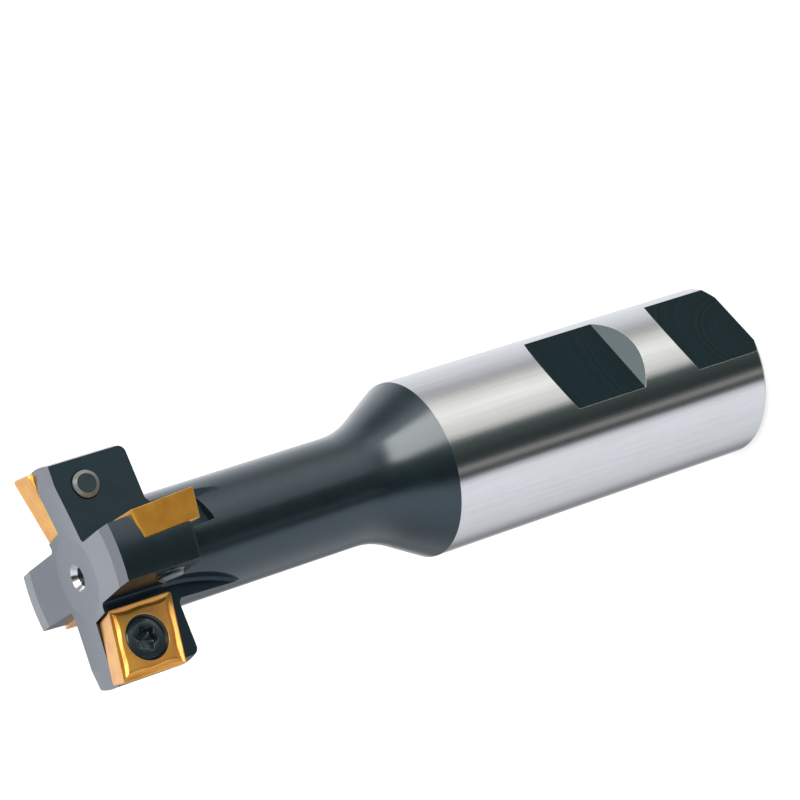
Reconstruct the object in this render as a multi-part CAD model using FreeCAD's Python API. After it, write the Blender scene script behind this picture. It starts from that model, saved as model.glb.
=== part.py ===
import FreeCAD, Part
import math
import os

from FreeCAD import Vector

# Indexable T-slot cutter, 32 mm across its cutting edges and 14 mm wide, on a 25 mm shank.
#
# One steel body carries four teeth in a cross. Two opposite teeth hold an insert at the
# front of the head and two hold one at its rear, so that together they cut the full width
# of the slot. Each insert is a rhombic, positive carbide plate in a milled pocket, held by
# one countersunk screw whose end comes out of the tooth's back.
#
# Frame: the tool stands on the end of its shank. The origin is the middle of that face,
# +Z runs up the axis to the head, and the first rear tooth points along +X. Seen from the
# head the tool turns anticlockwise. Lengths are in millimetres, angles in degrees.

# Cutting size
cutting_diameter = 32.0
cutting_width = 14.0
overall_length = 110.0

# Clamping shank
shank_diameter = 25.0
shank_length = 56.0
shank_end_chamfer = 1.0
flat_depth = 2.0
flat_width = 12.0
flat_centre = 28.0
end_flat_length = 12.0
flat_wall_angle = 45.0
flat_direction = 26.0
rear_centre_mouth = 5.3
rear_centre_pilot = 2.5

# Shoulder cone and neck
shoulder_angle = 29.0
neck_diameter = 15.5
neck_head_chamfer = 0.5

# Cutting head, behind the inserts' cutting edges
radial_standout = 1.0
back_standout = 1.8
hub_depth = 1.45
hub_diameter = 10.8
dish_angle = 5.2
front_land_width = 2.6
front_land_angle = 4.0
back_corner_radius = 1.0
front_centre_mouth = 3.7
front_centre_pilot = 1.8
centre_angle = 60.0
pilot_depth = 2.5

# Teeth, measured from each tooth's middle plane
front_tooth_back = 5.2
rear_tooth_back = 4.8

# Gullets: where the disc cutter's middle stops, from the back of the head
gullet_cutter_radius = 26.0
front_gullet_rise = 1.5
rear_gullet_drop = 3.2
gullet_corner_chamfer = 0.4

# Insert: 80 degree rhombic plate with 7 degree flanks
inscribed_circle = 9.525
insert_thickness = 3.97
corner_angle = 80.0
flank_angle = 7.0
nose_radius = 0.4
screw_play = 0.4
head_play = 0.6
hole_cone_angle = 60.0

# Moulded chip breaker
land_width = 0.2
groove_angle = 18.0
groove_floor = 0.4
island_step = 0.05
island_inset = 0.5
island_bow = 0.55
island_angle = 35.0

# Insert seats
corner_lead = 4.0
front_axial_rake = 4.0
rear_axial_rake = 3.0
radial_tilt = 2.0
rake_step = 0.45
corner_relief_radius = 0.6
runout_radius = 3.0
runout_drop = 6.5

# Insert screw
screw_diameter = 4.0
screw_head_diameter = 5.6
screw_length = 9.0
screw_end_chamfer = 0.65
head_rim_height = 0.25
socket_lobes = 6
socket_width = 3.3
socket_waist = 2.4
socket_depth = 1.3
thread_clearance = 0.02

# How far a cutting tool starts outside the metal, and how exactly edges are found
overrun = 6.0
tolerance = 0.01

front_tooth_angles = (90.0, 270.0)
rear_tooth_angles = (0.0, 180.0)


def tan(degrees):
    return math.tan(math.radians(degrees))


def sin(degrees):
    return math.sin(math.radians(degrees))


def cos(degrees):
    return math.cos(math.radians(degrees))


# Derived sizes
shank_radius = shank_diameter / 2
neck_radius = neck_diameter / 2
cutting_radius = cutting_diameter / 2
head_radius = cutting_radius - radial_standout
head_back = overall_length - cutting_width + back_standout
hub_top = overall_length - hub_depth
hub_radius = hub_diameter / 2
cone_end = shank_length + (shank_radius - neck_radius) / tan(shoulder_angle)
half_corner = corner_angle / 2
corner_reach = inscribed_circle / 2 / sin(half_corner)
base_inset = insert_thickness * tan(flank_angle)
hole_radius = (screw_diameter + screw_play) / 2
mouth_radius = (screw_head_diameter + head_play) / 2
cone_foot = -island_step - (mouth_radius - hole_radius) / tan(hole_cone_angle / 2)


def revolved(profile):
    """Turn a closed profile of (radius, height) points and arcs about the Z axis."""
    return Part.Face(Part.Wire(profile)).revolve(Vector(0, 0, 0), Vector(0, 0, 1), 360)


def rounded_path(points, radii):
    """Join points in a closed path, with a tangent arc of the given radius at each one."""
    starts = []
    ends = []
    path = []
    for i, point in enumerate(points):
        back = (points[i - 1] - point).normalize()
        ahead = (points[(i + 1) % len(points)] - point).normalize()
        half_corner_turn = back.getAngle(ahead) / 2
        reach = radii[i] / math.tan(half_corner_turn)
        starts.append(point + back * reach)
        ends.append(point + ahead * reach)
        if radii[i] > 0:
            bulge = radii[i] / math.sin(half_corner_turn) - radii[i]
            middle = point + (back + ahead).normalize() * bulge
            path.append(Part.Arc(starts[i], middle, ends[i]).toShape())
    for i, start in enumerate(starts):
        path.append(Part.makeLine(ends[i - 1], start))
    return Part.sortEdges(path)[0]


def centre_hole(face_height, outwards, mouth, pilot):
    """A centre hole drilled from an end face: a 60 degree cone and a pilot bore."""
    depth = (mouth - pilot) / 2 / tan(centre_angle / 2)
    start = Vector(0, 0, face_height)
    inwards = Vector(0, 0, -outwards)
    cone = Part.makeCone(mouth / 2, pilot / 2, depth, start, inwards)
    bore = Part.makeCylinder(pilot / 2, depth + pilot_depth, start, inwards)
    return cone.fuse(bore)


def turned_blank():
    """The body as it leaves the lathe: shank, shoulder cone, neck and dished head."""
    land_radius = head_radius - front_land_width
    land_top = hub_top + (land_radius - hub_radius) * tan(dish_angle)
    rim_top = land_top - front_land_width * tan(front_land_angle)
    outline = [
        (0, 0, 0),
        (shank_radius - shank_end_chamfer, 0, 0),
        (shank_radius, shank_end_chamfer, 0),
        (shank_radius, shank_length, 0),
        (neck_radius, cone_end, 0),
        (neck_radius, head_back - neck_head_chamfer, 0),
        (neck_radius + neck_head_chamfer, head_back, 0),
        (head_radius, head_back, back_corner_radius),
        (head_radius, rim_top, 0),
        (land_radius, land_top, 0),
        (hub_radius, hub_top, 0),
        (0, hub_top, 0),
    ]
    # Drawn above +Y, so that the line where each round face closes stays clear of the flats.
    points = [Vector(0, radius, height) for radius, height, _ in outline]
    return revolved(rounded_path(points, [corner for _, _, corner in outline]))


def side_lock_flats():
    """Two clamping flats in line: one between sloping walls, one open to the shank's end."""
    floor = shank_radius - flat_depth
    top = shank_radius + overrun
    lean = (top - floor) / tan(flat_wall_angle)
    low = flat_centre - flat_width / 2
    high = flat_centre + flat_width / 2
    closed_flat = [(floor, low), (top, low - lean), (top, high + lean), (floor, high)]
    open_flat = [
        (floor, -overrun),
        (top, -overrun),
        (top, end_flat_length + lean),
        (floor, end_flat_length),
    ]
    cuts = []
    for outline in (closed_flat, open_flat):
        points = [Vector(reach, -shank_diameter, height) for reach, height in outline]
        face = Part.Face(Part.makePolygon(points + points[:1]))
        cut = face.extrude(Vector(0, 2 * shank_diameter, 0))
        cut.rotate(Vector(0, 0, 0), Vector(0, 0, 1), flat_direction)
        cuts.append(cut)
    return cuts


def seat_placement(tooth_angle, end, axial_rake):
    """Where an insert sits: origin at its middle in the plane of its cutting edges, X
    through its cutting corner, Z out of its rake face. The end is +1 for an insert at the
    front of the head and -1 for one at its rear."""
    radial = Vector(cos(tooth_angle), sin(tooth_angle), 0)
    ahead = Vector(-sin(tooth_angle), cos(tooth_angle), 0)
    towards_end = Vector(0, 0, end)
    rake = (ahead + radial * tan(radial_tilt) - towards_end * tan(axial_rake)).normalize()
    along = (towards_end - rake * rake.dot(towards_end)).normalize()
    outward = (radial - rake * rake.dot(radial) - along * along.dot(radial)).normalize()
    corner_height = overall_length if end > 0 else overall_length - cutting_width
    corner_radial = math.sqrt(cutting_radius ** 2 - corner_lead ** 2)
    corner = radial * corner_radial + ahead * corner_lead + Vector(0, 0, corner_height)
    through_corner = outward * sin(half_corner) + along * cos(half_corner)
    across = rake.cross(through_corner)
    middle = corner - through_corner * corner_reach
    columns = zip(through_corner, across, rake, middle)
    rows = [value for row in columns for value in row]
    return FreeCAD.Placement(FreeCAD.Matrix(*rows, 0, 0, 0, 1))


def rhombus(inset, level):
    """Corners of the insert's outline, drawn in from its edges, at a height above them."""
    half = inscribed_circle / 2 - inset
    long_reach = half / sin(half_corner)
    short_reach = half / cos(half_corner)
    return [
        Vector(long_reach, 0, level),
        Vector(0, short_reach, level),
        Vector(-long_reach, 0, level),
        Vector(0, -short_reach, level),
    ]


def flat_sided(low_corners, high_corners):
    """A solid with flat faces between two outlines, whose corners run anticlockwise."""
    outlines = [low_corners[::-1], high_corners]
    for i, corner in enumerate(low_corners):
        outlines.append([low_corners[i - 1], corner, high_corners[i], high_corners[i - 1]])
    faces = [Part.Face(Part.makePolygon(outline + outline[:1])) for outline in outlines]
    return Part.makeSolid(Part.makeShell(faces))


def rhombic_plate(low_inset, low_level, high_inset, high_level, corner_radius):
    """A plate with sloping sides and a rhombic outline, its upright edges rounded."""
    plate = flat_sided(rhombus(low_inset, low_level), rhombus(high_inset, high_level))
    upright = []
    for edge in plate.Edges:
        heights = [vertex.Z for vertex in edge.Vertexes]
        if abs(heights[0] - heights[1]) > tolerance:
            upright.append(edge)
    return plate.makeFillet(corner_radius, upright)


def bowed_rhombus(inset, level):
    """The chip breaker's island: its sides bow in between corners that reach outwards."""
    corners = rhombus(inset, level)
    sides = []
    for i, corner in enumerate(corners):
        following = corners[(i + 1) % 4]
        middle = (corner + following) / 2
        inwards = (Vector(0, 0, level) - middle).normalize()
        sides.append(Part.Arc(corner, middle + inwards * island_bow, following).toShape())
    return Part.Wire(sides)


def carbide_insert():
    """A pressed and sintered plate: flanks, a groove behind each edge, island and hole."""
    plate = rhombic_plate(base_inset, -insert_thickness, 0, 0, nose_radius)
    # The groove's slope is carried on above the plate, to cut its outer edge cleanly.
    slope = tan(groove_angle)
    above = groove_floor / 2
    groove = rhombic_plate(
        land_width + groove_floor / slope, -groove_floor,
        land_width - above / slope, above,
        nose_radius,
    )
    # The island's foot stays inside the plate, where the groove's outer slope covers it.
    island_spread = (groove_floor - island_step) / tan(island_angle)
    island_outlines = [
        bowed_rhombus(island_inset - island_spread, -groove_floor),
        bowed_rhombus(island_inset, -island_step),
    ]
    island = Part.makeLoft(island_outlines, True, True).common(plate)
    middle = Vector(0, 0, -insert_thickness - overrun)
    bore = Part.makeCylinder(hole_radius, insert_thickness + 2 * overrun, middle)
    seat = Part.makeCone(
        hole_radius, mouth_radius, -island_step - cone_foot, Vector(0, 0, cone_foot)
    )
    return plate.cut(groove).fuse(island).cut(bore).cut(seat).removeSplitter()


def socket_outline(level):
    """The screw's socket: a wave of six lobes round a circle."""
    mean = (socket_width + socket_waist) / 4
    wave = (socket_width - socket_waist) / 4
    steps = 6 * socket_lobes
    points = []
    for step in range(steps + 1):
        turn = 360 / steps * step
        radius = mean + wave * cos(socket_lobes * turn)
        points.append(Vector(radius * cos(turn), radius * sin(turn), level))
    return Part.makePolygon(points)


def insert_screw():
    """A countersunk screw in the insert's frame, seated on the cone of the insert's hole."""
    slope = tan(hole_cone_angle / 2)
    rim = screw_head_diameter / 2
    shank = screw_diameter / 2
    rim_foot = cone_foot + (rim - hole_radius) / slope
    cone_tip = cone_foot - (hole_radius - shank) / slope
    top = rim_foot + head_rim_height
    foot = top - screw_length
    outline = [
        (0, foot),
        (shank - screw_end_chamfer, foot),
        (shank, foot + screw_end_chamfer),
        (shank, cone_tip),
        (rim, rim_foot),
        (rim, top),
        (0, top),
    ]
    points = [Vector(radius, 0, height) for radius, height in outline]
    turned = revolved(Part.makePolygon(points + points[:1]))
    socket = Part.Face(socket_outline(top)).extrude(Vector(0, 0, -socket_depth))
    return turned.cut(socket)


def gullet(tooth_angle, end, axial_rake, next_back, stop):
    """The chip space ahead of a tooth. Its floor lies under the insert's rake plane. Its
    side is the back of the next tooth, and curves out through the neck where the disc
    cutter stops."""
    reach = cutting_radius + overrun
    top = overall_length + overrun
    low = stop - gullet_cutter_radius
    outer = next_back + gullet_cutter_radius + reach
    near = Vector(next_back, 0, stop)
    far = Vector(next_back + gullet_cutter_radius, 0, low)
    disc_middle = Vector(next_back + gullet_cutter_radius, 0, stop)
    halfway = disc_middle - Vector(cos(45), 0, sin(45)) * gullet_cutter_radius
    corners = [far, Vector(outer, 0, low), Vector(outer, 0, top), Vector(next_back, 0, top), near]
    arc = Part.Arc(near, halfway, far).toShape()
    outline = Part.Wire([arc] + Part.makePolygon(corners).Edges)
    cut = Part.Face(outline).extrude(Vector(0, 2 * reach, 0))
    cut.translate(Vector(0, -reach, 0))
    cut.rotate(Vector(0, 0, 0), Vector(0, 0, 1), tooth_angle)
    size = 2 * overall_length
    above_floor = Part.makeBox(size, size, size, Vector(-size / 2, -size / 2, -rake_step))
    above_floor.Placement = seat_placement(tooth_angle, end, axial_rake)
    return chamfered_root(cut.common(above_floor), tooth_angle, next_back)


def chamfered_root(cut, tooth_angle, next_back):
    """Break the edge that leaves the gullet's inner corner, as the disc's corner does."""
    radial = Vector(cos(tooth_angle), sin(tooth_angle), 0)
    roots = []
    for edge in cut.Edges:
        first = edge.Vertexes[0].Point
        last = edge.Vertexes[-1].Point
        on_side = all(abs(point.dot(radial) - next_back) < tolerance for point in (first, last))
        rises = abs(first.z - last.z) > gullet_corner_chamfer
        inside = all(math.hypot(point.x, point.y) < head_radius for point in (first, last))
        if on_side and rises and inside:
            roots.append(edge)
    return cut.makeChamfer(gullet_corner_chamfer, roots)


def pocket(placement):
    """An insert's pocket: a floor, two walls that follow its flanks, and a relieved corner."""
    reach = inscribed_circle + overrun
    one_wall = Vector(cos(half_corner), sin(half_corner), 0) * reach
    other_wall = Vector(cos(half_corner), -sin(half_corner), 0) * reach
    outlines = []
    for level in (-insert_thickness, overrun):
        corner = rhombus(-level * tan(flank_angle), level)[2]
        far_corner = corner + one_wall + other_wall
        outlines.append([corner, corner + other_wall, far_corner, corner + one_wall])
    foot = rhombus(base_inset, -insert_thickness)[2]
    relief = Part.makeCylinder(corner_relief_radius, insert_thickness + overrun, foot)
    cut = flat_sided(*outlines).fuse(relief)
    cut.Placement = placement
    return cut


def pocket_runout(placement):
    """Behind a rear pocket the end mill leaves the neck along a rounded path, in line with
    the pocket's inner wall. A rear insert's outer edge runs down the tool."""
    down = Vector(cos(half_corner), sin(half_corner), 0)
    outward = Vector(sin(half_corner), -cos(half_corner), 0)
    wall = outward * (base_inset - inscribed_circle / 2) - Vector(0, 0, insert_thickness)
    depth = placement.Base.z - (head_back - runout_drop) - runout_radius
    height = insert_thickness + overrun
    width = inscribed_circle + overrun
    centre = wall + outward * runout_radius + down * depth
    mill = Part.makeCylinder(runout_radius, height, centre)
    bottom = centre + down * runout_radius
    outline = [
        wall,
        wall + down * depth,
        centre,
        bottom,
        bottom + outward * width,
        wall + outward * (width + runout_radius),
        wall,
    ]
    cut = mill.fuse(Part.Face(Part.makePolygon(outline)).extrude(Vector(0, 0, height)))
    cut.Placement = placement
    return cut


def screw_hole(placement):
    """The tapped hole through the tooth, on the axis of the insert's hole."""
    depth = screw_length + overrun
    bore = Part.makeCylinder(
        screw_diameter / 2 + thread_clearance, depth, Vector(0, 0, -depth)
    )
    bore.Placement = placement
    return bore


def seats():
    """Each insert's node name, seat placement and tooth."""
    found = []
    for number, angle in enumerate(front_tooth_angles, 1):
        placement = seat_placement(angle, 1, front_axial_rake)
        found.append((f"front_insert_{number}", placement, angle, 1))
    for number, angle in enumerate(rear_tooth_angles, 1):
        placement = seat_placement(angle, -1, rear_axial_rake)
        found.append((f"rear_insert_{number}", placement, angle, -1))
    return found


def cutter_body():
    """The steel body: the turned blank, milled for flats, gullets, pockets and screws."""
    body = turned_blank()
    cuts = side_lock_flats()
    cuts.append(centre_hole(hub_top, 1, front_centre_mouth, front_centre_pilot))
    cuts.append(centre_hole(0, -1, rear_centre_mouth, rear_centre_pilot))
    for _, placement, angle, end in seats():
        if end > 0:
            stop = head_back + front_gullet_rise
            cuts.append(gullet(angle, end, front_axial_rake, rear_tooth_back, stop))
        else:
            stop = head_back - rear_gullet_drop
            cuts.append(gullet(angle, end, rear_axial_rake, front_tooth_back, stop))
            cuts.append(pocket_runout(placement))
        cuts.append(pocket(placement))
        cuts.append(screw_hole(placement))
    for cut in cuts:
        body = body.cut(cut)
    return body.removeSplitter()


def placed(shape, placement):
    copy = shape.copy()
    copy.Placement = placement
    return copy


def main():
    os.makedirs("parts", exist_ok=True)
    parts = {"cutter_body": cutter_body()}
    insert = carbide_insert()
    screw = insert_screw()
    screws = []
    for name, placement, _, _ in seats():
        parts[name] = placed(insert, placement)
        screws.append(placed(screw, placement))
    parts["insert_screws"] = Part.makeCompound(screws)
    for name, shape in parts.items():
        shape.exportStep(f"parts/{name}.step")
        print(name, len(shape.Solids), "solid", round(shape.Volume, 1), "mm3", shape.isValid())


main()
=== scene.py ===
import math

import bmesh
import bpy
import numpy as np
from mathutils import Matrix, Vector


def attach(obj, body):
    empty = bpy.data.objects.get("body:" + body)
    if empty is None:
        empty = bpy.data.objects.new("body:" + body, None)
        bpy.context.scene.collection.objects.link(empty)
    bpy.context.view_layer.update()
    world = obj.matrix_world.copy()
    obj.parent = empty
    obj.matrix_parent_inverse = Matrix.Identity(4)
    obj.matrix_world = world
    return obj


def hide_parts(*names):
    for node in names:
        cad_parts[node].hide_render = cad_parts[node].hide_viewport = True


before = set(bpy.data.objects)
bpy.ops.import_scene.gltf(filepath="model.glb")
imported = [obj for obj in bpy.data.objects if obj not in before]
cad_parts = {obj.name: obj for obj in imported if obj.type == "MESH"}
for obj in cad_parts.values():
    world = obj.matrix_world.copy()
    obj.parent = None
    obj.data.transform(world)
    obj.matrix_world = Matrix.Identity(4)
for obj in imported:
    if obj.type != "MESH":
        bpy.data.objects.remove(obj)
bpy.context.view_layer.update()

# %% [markdown]
# Indexable T-slot cutter
#
# The tool mills the wide foot of a T-slot. A ground shank is clamped in a holder, a slim neck
# passes through the slot's narrow mouth, and a head with four teeth does the cutting. Two teeth
# carry an insert at the front of the head and two at its rear.
#
# The CAD model is the frame: it fixes every size and place. This script dresses it. The steel
# body keeps its CAD shape and gets true surface normals, a soft bend at the foot of its neck and
# its finishes. The inserts and the screws are made again with the fine forms that a CAD facet is
# too coarse for: the moulded chip breaker, the honed edge, the chamfered screw end, whose chamfer
# gets a painted sheen, and the thread.


# %% [markdown]
# Sizes
#
# These are the real tool's sizes in millimetres and degrees, the same ones that the CAD model
# was drawn from. A repeated number has one name here, so that a change reaches everything that
# uses it.

# %% Slopes and directions from angles in degrees
def slope(angle):
    return math.tan(math.radians(angle))


def heading(angle):
    """Level direction at an angle round the tool's axis, counted from +X."""
    return Vector((math.cos(math.radians(angle)), math.sin(math.radians(angle)), 0))


# %% Sizes of the body
MM = 0.001
SHANK_RADIUS = 12.5
SHANK_LENGTH = 56.0
SHANK_CHAMFER = 1.0
NECK_RADIUS = 7.75
HEAD_RADIUS = 15.0
HEAD_BACK = 97.8
HUB_RADIUS = 5.4
HUB_TOP = 108.55
CENTRE_MOUTH_RADIUS = 1.9
BURNISHED_DEPTH = 0.8
DISH_ANGLE = 5.2
LAND_WIDTH = 2.6
LAND_ANGLE = 4.0
CONE_ANGLE = 29.0
FLAT_DIRECTION = 26.0
FLAT_REACH = 10.5

# %% Sizes of the inserts and of their seats
INSCRIBED_CIRCLE = 9.525
THICKNESS = 3.97
HALF_CORNER = math.radians(40)
FLANK_ANGLE = 7.0
NOSE_RADIUS = 0.4
HOLE_RADIUS = 2.2
MOUTH_RADIUS = 3.1
MOUTH_TOP = -0.05
# The countersink is a cone whose wall leans 30 degrees from the hole's axis.
SINK_SLOPE = slope(30)
SINK_FOOT = MOUTH_TOP - (MOUTH_RADIUS - HOLE_RADIUS) / SINK_SLOPE
CUTTING_RADIUS = 16.0
CORNER_LEAD = 4.0
RADIAL_TILT = 2.0
# Each seat: tooth direction, +1 for the front of the head or -1 for its rear, the cutting
# corner's height and the axial rake.
SEATS = {
    "front_insert_1": (90, 1, 110.0, 4.0),
    "front_insert_2": (270, 1, 110.0, 4.0),
    "rear_insert_1": (0, -1, 96.0, 3.0),
    "rear_insert_2": (180, -1, 96.0, 3.0),
}

# %% [markdown]
# Camera
#
# The photo looks down on the standing tool from about 32 degrees, and is turned so that the tool
# seems to lie. The camera's place, direction and lens were fitted so that the corners of the
# flats, the head and the inserts fall where the photo has them.

# %% Camera
def new_object(name, data):
    obj = bpy.data.objects.new(name, data)
    bpy.context.scene.collection.objects.link(obj)
    return obj


CAMERA_PLACE = Vector((350.75, -59.80, 276.78)) * MM
CAMERA_FORWARD = Vector((-0.83101, 0.16465, -0.53132)).normalized()
CAMERA_UP = Vector((0.34080, 0.90562, -0.25240))
SENSOR_WIDTH = 36.0
FOCAL_LENGTH = 136.57
camera_right = CAMERA_FORWARD.cross(CAMERA_UP).normalized()
camera_up = camera_right.cross(CAMERA_FORWARD)
camera_data = bpy.data.cameras.new("photo_camera")
camera_data.sensor_width = SENSOR_WIDTH
camera_data.lens = FOCAL_LENGTH
camera_data.clip_start = 10 * MM
camera = new_object("photo_camera", camera_data)
camera.matrix_world = Matrix.Translation(CAMERA_PLACE) @ Matrix(
    (camera_right, camera_up, -CAMERA_FORWARD)
).transposed().to_4x4()
bpy.context.scene.camera = camera
bpy.context.scene.view_settings.view_transform = "Standard"
print("camera at", [round(value, 4) for value in CAMERA_PLACE])

# %% [markdown]
# Colours and nodes
#
# Colours are written as the eye sees them, as hex numbers, and Blender calculates in linear
# light, so one function turns one into the other. Every finish starts as an empty node tree. One
# function adds a node to a tree, with its settings, what goes into it and, for a colour ramp, its
# stops. Where a node goes into another, its first output is meant.

# %% Colour and node helpers
def colour(code):
    channels = [int(code[i:i + 2], 16) / 255 for i in (1, 3, 5)]
    linear = [c / 12.92 if c <= 0.04045 else ((c + 0.055) / 1.055) ** 2.4 for c in channels]
    return (*linear, 1.0)


def empty_tree(owner):
    owner.use_nodes = True
    owner.node_tree.nodes.clear()
    return owner.node_tree


def empty_material(name):
    material = bpy.data.materials.new(name)
    return material, empty_tree(material)


def add(tree, kind, settings=None, inputs=None, stops=()):
    node = tree.nodes.new(kind)
    for name, value in (settings or {}).items():
        setattr(node, name, value)
    for name, value in (inputs or {}).items():
        if isinstance(value, bpy.types.Node):
            value = value.outputs[0]
        if isinstance(value, bpy.types.NodeSocket):
            tree.links.new(value, node.inputs[name])
        else:
            node.inputs[name].default_value = value
    if stops:
        # A new ramp has two stops of its own, and one of them has to stay.
        elements = node.color_ramp.elements
        elements.remove(elements[-1])
        elements[0].position, elements[0].color = stops[0]
        for place, shade in stops[1:]:
            elements.new(place).color = shade
    return node


# %% [markdown]
# Room
#
# Polished metal has no look of its own: it shows the room. The photo's tool shows a pale room
# that is dark on one side, which draws the dark bands along the shank, the neck and the cone.
# The world stands for that room. Upright walls of the tool mirror what is below the horizon, and
# the cone and the head's front what is above it, so there are two rings of tones by compass
# direction, and straight up and straight down the room is grey. Matt surfaces are lit by the
# same room, only dimmer. For the camera it is plain white.

# %% Brightness of the room by compass direction, as pairs of an angle and a level of light
LOW_TONES = [
    (-180, 0.86), (-164, 0.30), (-156, 0.26), (-148, 0.37), (-132, 0.71), (-106, 0.86),
    (-84, 0.91), (-64, 0.99), (-50, 0.95), (-46, 0.60), (-43, 0.06), (-38, 0.01), (-35, 0.22),
    (-31, 0.34), (-27, 0.09), (-22, 0.03), (-12, 0.05), (-2, 0.08), (4, 0.10), (9, 0.50),
    (14, 0.78), (23, 0.86), (43, 1.13), (52, 1.01), (63, 0.82), (75, 0.51), (83, 0.50),
    (93, 0.67), (107, 0.84), (139, 1.00), (160, 0.97), (180, 0.86),
]
HIGH_TONES = [
    (-180, 1.15), (-166, 1.05), (-150, 0.50), (-112, 0.58), (-90, 0.85), (-72, 1.02),
    (-52, 1.05), (-45, 0.70), (-40, 0.12), (-34, 0.02), (-20, 0.04), (-8, 0.16), (8, 0.30),
    (30, 0.60), (50, 1.40), (64, 1.25), (74, 0.50), (82, 0.36), (92, 0.26), (104, 0.55),
    (116, 0.95), (150, 1.10), (180, 1.15),
]


def room_tint(angle):
    """The room is warm in two directions, a little green on its dark side, and else lavender."""
    if -37 < angle < -28 or 6 < angle < 80:
        return colour("#fffffa")
    return colour("#dffffb") if -44 < angle < 6 else colour("#f7faff")


# %% Room
MATT_SHARE = 0.6
world = bpy.data.worlds.new("studio_room")
bpy.context.scene.world = world
room = empty_tree(world)
direction = add(room, "ShaderNodeTexCoord")
split = add(room, "ShaderNodeSeparateXYZ", inputs={0: direction.outputs["Generated"]})
compass = add(room, "ShaderNodeMath", {"operation": "ARCTAN2"}, {
    0: split.outputs["Y"], 1: split.outputs["X"]})
turn = add(room, "ShaderNodeMapRange", inputs={
    "Value": compass, "From Min": -math.pi, "From Max": math.pi})


def ring_of_tones(tones):
    return add(room, "ShaderNodeValToRGB", inputs={0: turn}, stops=[
        ((angle + 180) / 360, tuple(level * part for part in room_tint(angle)[:3]) + (1.0,))
        for angle, level in tones
    ])


def by_height(low, high, start, end):
    """Blend two colours of the room between two heights of direction, from -1 to 1."""
    share = add(room, "ShaderNodeMapRange", {"interpolation_type": "SMOOTHSTEP"}, {
        "Value": split.outputs["Z"], "From Min": start, "From Max": end})
    blend = add(room, "ShaderNodeMix", {"data_type": "RGBA"}, {"Factor": share, 6: low, 7: high})
    return blend.outputs[2]


# The two rings blend just below the horizon, and give way to grey near straight down and up.
walls = by_height(ring_of_tones(LOW_TONES), ring_of_tones(HIGH_TONES), -0.22, -0.02)
above_floor = by_height(colour("#9ca0a2"), walls, -0.97, -0.76)
all_round = by_height(above_floor, colour("#d0d0d0"), 0.65, 0.95)
shiny_light = add(room, "ShaderNodeBackground", inputs={"Color": all_round})
matt_light = add(room, "ShaderNodeBackground", inputs={
    "Color": all_round, "Strength": MATT_SHARE})
white = add(room, "ShaderNodeBackground", inputs={"Color": colour("#ffffff")})


# %% Room as the camera sees it
def seen_plainly(tree, path):
    """Is 1 for a ray that comes from the camera, straight or through something clear."""
    return add(tree, "ShaderNodeMath", {"operation": "MAXIMUM"}, {
        0: path.outputs["Is Camera Ray"], 1: path.outputs["Is Transmission Ray"]})


ray = add(room, "ShaderNodeLightPath")
by_gloss = add(room, "ShaderNodeMixShader", inputs={
    0: ray.outputs["Is Glossy Ray"], 1: matt_light, 2: shiny_light})
by_camera = add(room, "ShaderNodeMixShader", inputs={
    0: seen_plainly(room, ray), 1: by_gloss, 2: white})
add(room, "ShaderNodeOutputWorld", inputs={"Surface": by_camera})
print("room tones", len(LOW_TONES), "low and", len(HIGH_TONES), "high")

# %% [markdown]
# Lamps
#
# A large soft box gives the shine on the cone, and a small one the paler slopes of the flats.
# Their light is a little warmer than the room's. A lamp's strength is set from how bright its
# surface should look, because that is what metal shows.

# %% Soft boxes
LAMP_AIM = Vector((0, 0, 80 * MM))
LAMP_DISTANCE = 0.80


def soft_box(name, angle, height, width, tall, brightness, tint):
    """An area lamp that faces the neck, at an angle round the tool and an angle of height."""
    rise = math.radians(height)
    towards = heading(angle) * math.cos(rise) + Vector((0, 0, math.sin(rise)))
    data = bpy.data.lights.new(name, "AREA")
    data.shape = "RECTANGLE"
    data.size = width
    data.size_y = tall
    data.color = colour(tint)[:3]
    data.energy = brightness * math.pi * width * tall
    lamp = new_object(name, data)
    lamp.rotation_mode = "QUATERNION"
    lamp.rotation_quaternion = towards.to_track_quat("Z", "Y")
    lamp.location = LAMP_AIM + towards * LAMP_DISTANCE
    print(name, "energy", round(data.energy, 2))


soft_box("front_box", 30, 21, 0.58, 0.33, 6.4, "#ffeddb")
soft_box("side_box", 68, 45, 0.30, 0.34, 2.3, "#fffae9")

# %% [markdown]
# Floor
#
# The tool stands on a plain white table. The camera sees the table as white, with only the
# faint shadow that the tool throws on it: a little glow, for the camera alone, makes up what the
# lamps leave out. The steel doesn't mirror the table, because its upright walls show the low
# ring of the room there.

# %% Floor
def mesh_object(name, points, faces):
    mesh = bpy.data.meshes.new(name)
    mesh.from_pydata([tuple(point) for point in points], [], faces)
    mesh.polygons.foreach_set("use_smooth", [True] * len(mesh.polygons))
    mesh.update()
    return new_object(name, mesh)


FLOOR_HALF = 3.0
TABLE_GLOW = 0.72
floor = mesh_object("floor", [
    (x * FLOOR_HALF, y * FLOOR_HALF, 0) for x, y in ((-1, -1), (1, -1), (1, 1), (-1, 1))
], [(0, 1, 2, 3)])
paint, table = empty_material("white_table")
matt = add(table, "ShaderNodeBsdfDiffuse", inputs={"Color": colour("#e8e8e8")})
glow = add(table, "ShaderNodeEmission", inputs={"Color": colour("#ffffff"), "Strength": TABLE_GLOW})
lit = add(table, "ShaderNodeAddShader", inputs={0: matt, 1: glow})
table_ray = add(table, "ShaderNodeLightPath")
choice = add(table, "ShaderNodeMixShader", inputs={
    0: seen_plainly(table, table_ray), 1: matt, 2: lit})
add(table, "ShaderNodeOutputMaterial", inputs={"Surface": choice})
floor.data.materials.append(paint)
floor.visible_glossy = False
print("floor", FLOOR_HALF * 2, "m across")

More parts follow.
